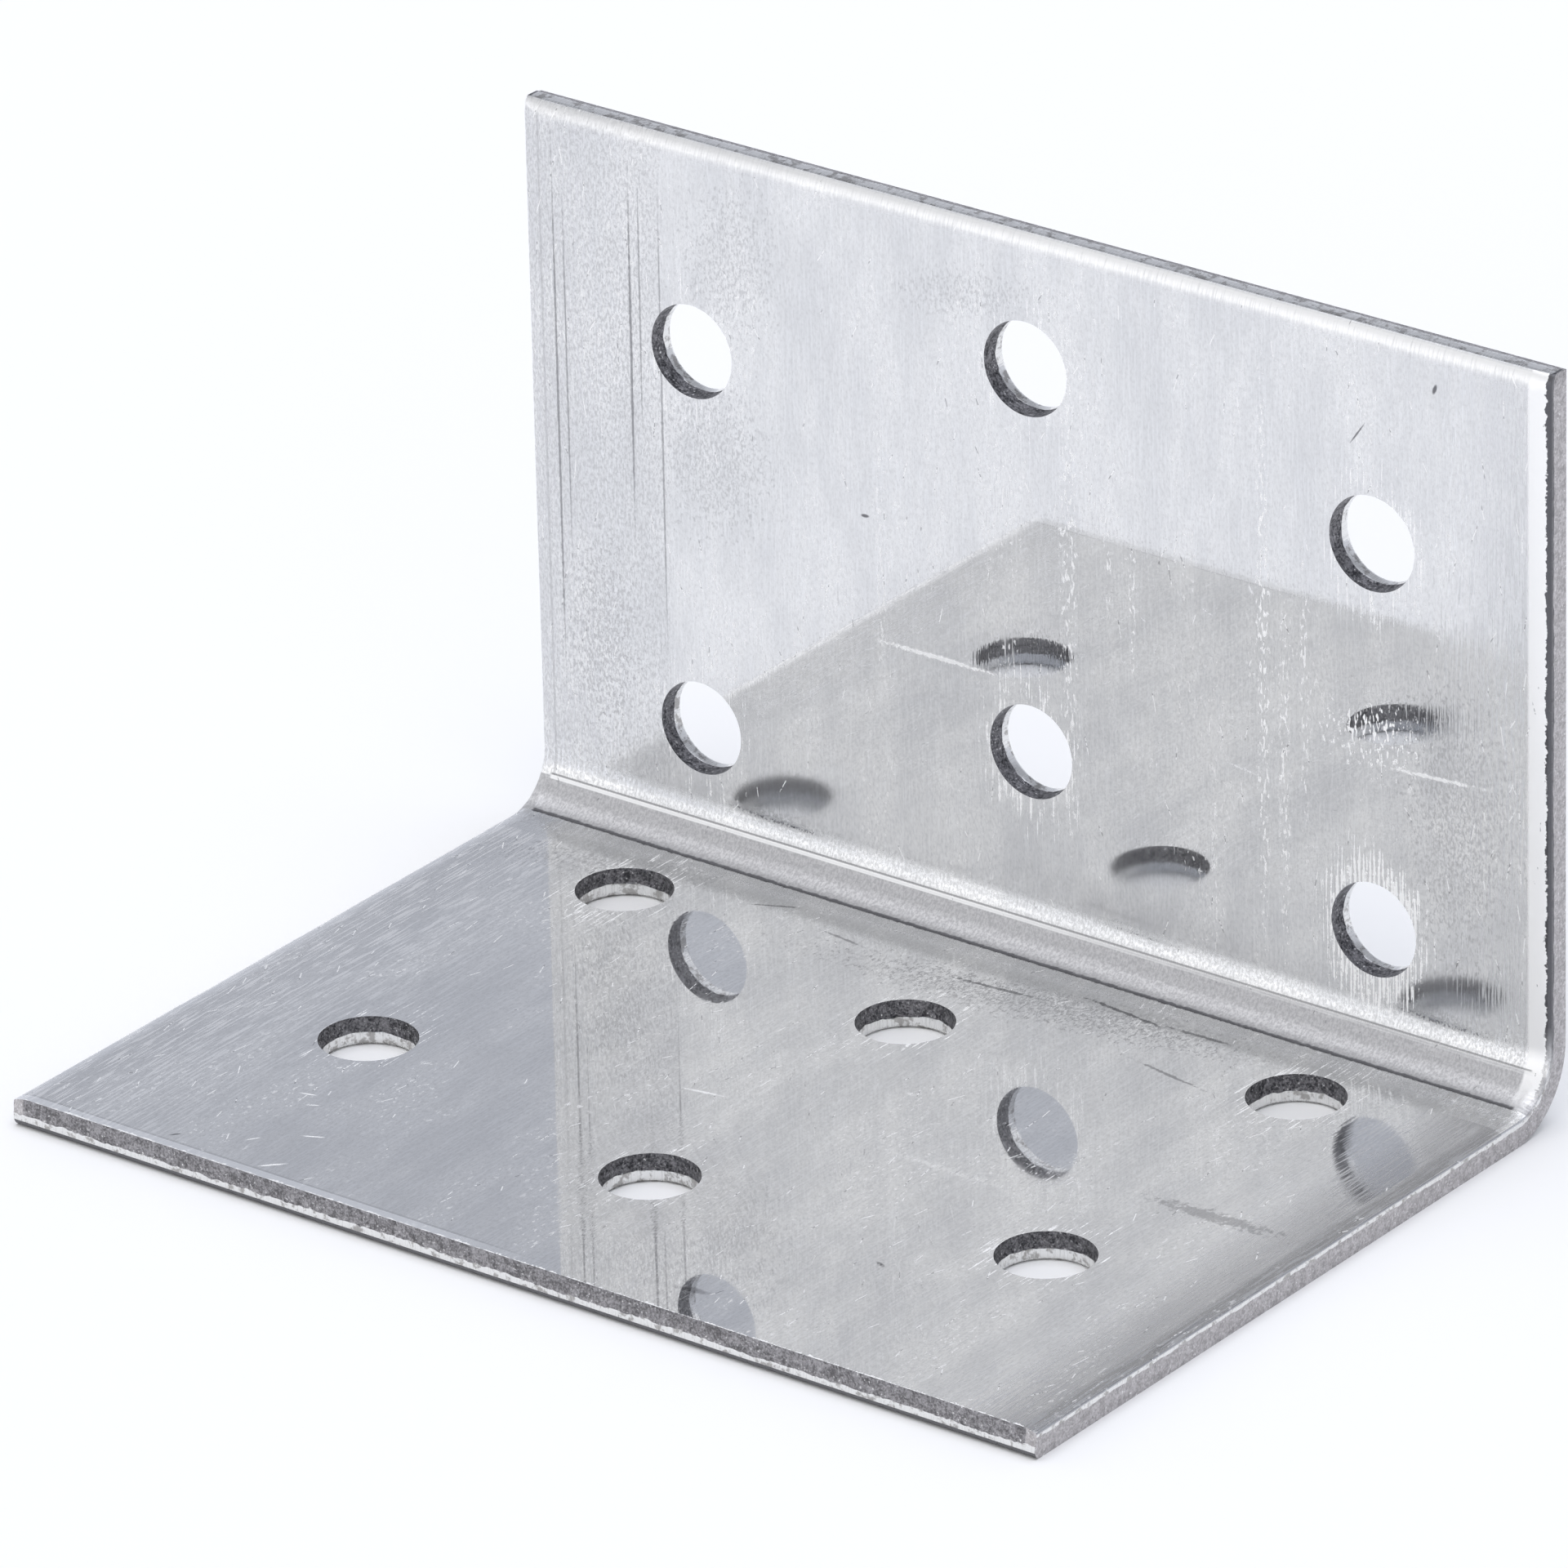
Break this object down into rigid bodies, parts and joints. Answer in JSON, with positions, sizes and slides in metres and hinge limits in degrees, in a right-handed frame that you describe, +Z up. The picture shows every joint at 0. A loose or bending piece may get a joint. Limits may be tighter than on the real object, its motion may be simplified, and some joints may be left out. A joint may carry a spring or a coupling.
{
  "type": "angle bracket",
  "caption": "Right-angle bracket folded from one piece of sheet steel, with staggered fixing holes in both legs, for joining two members at a corner.",
  "frame": {"origin": "middle of the bounding box at the underside of the base leg", "axes": "+X along the fold, +Y towards the outer face of the upright leg, +Z up, away from the base leg's underside"},
  "size_m": [0.06, 0.0424, 0.0386],
  "materials": {
    "steel": "bright zinc-plated sheet, smooth and mirror-like with fine rolling lines and light scuffs; dull grey breaks at the sheared and punched edges"
  },
  "bodies": {
    "root": {"angle_bracket": "steel"}
  },
  "joints": []
}
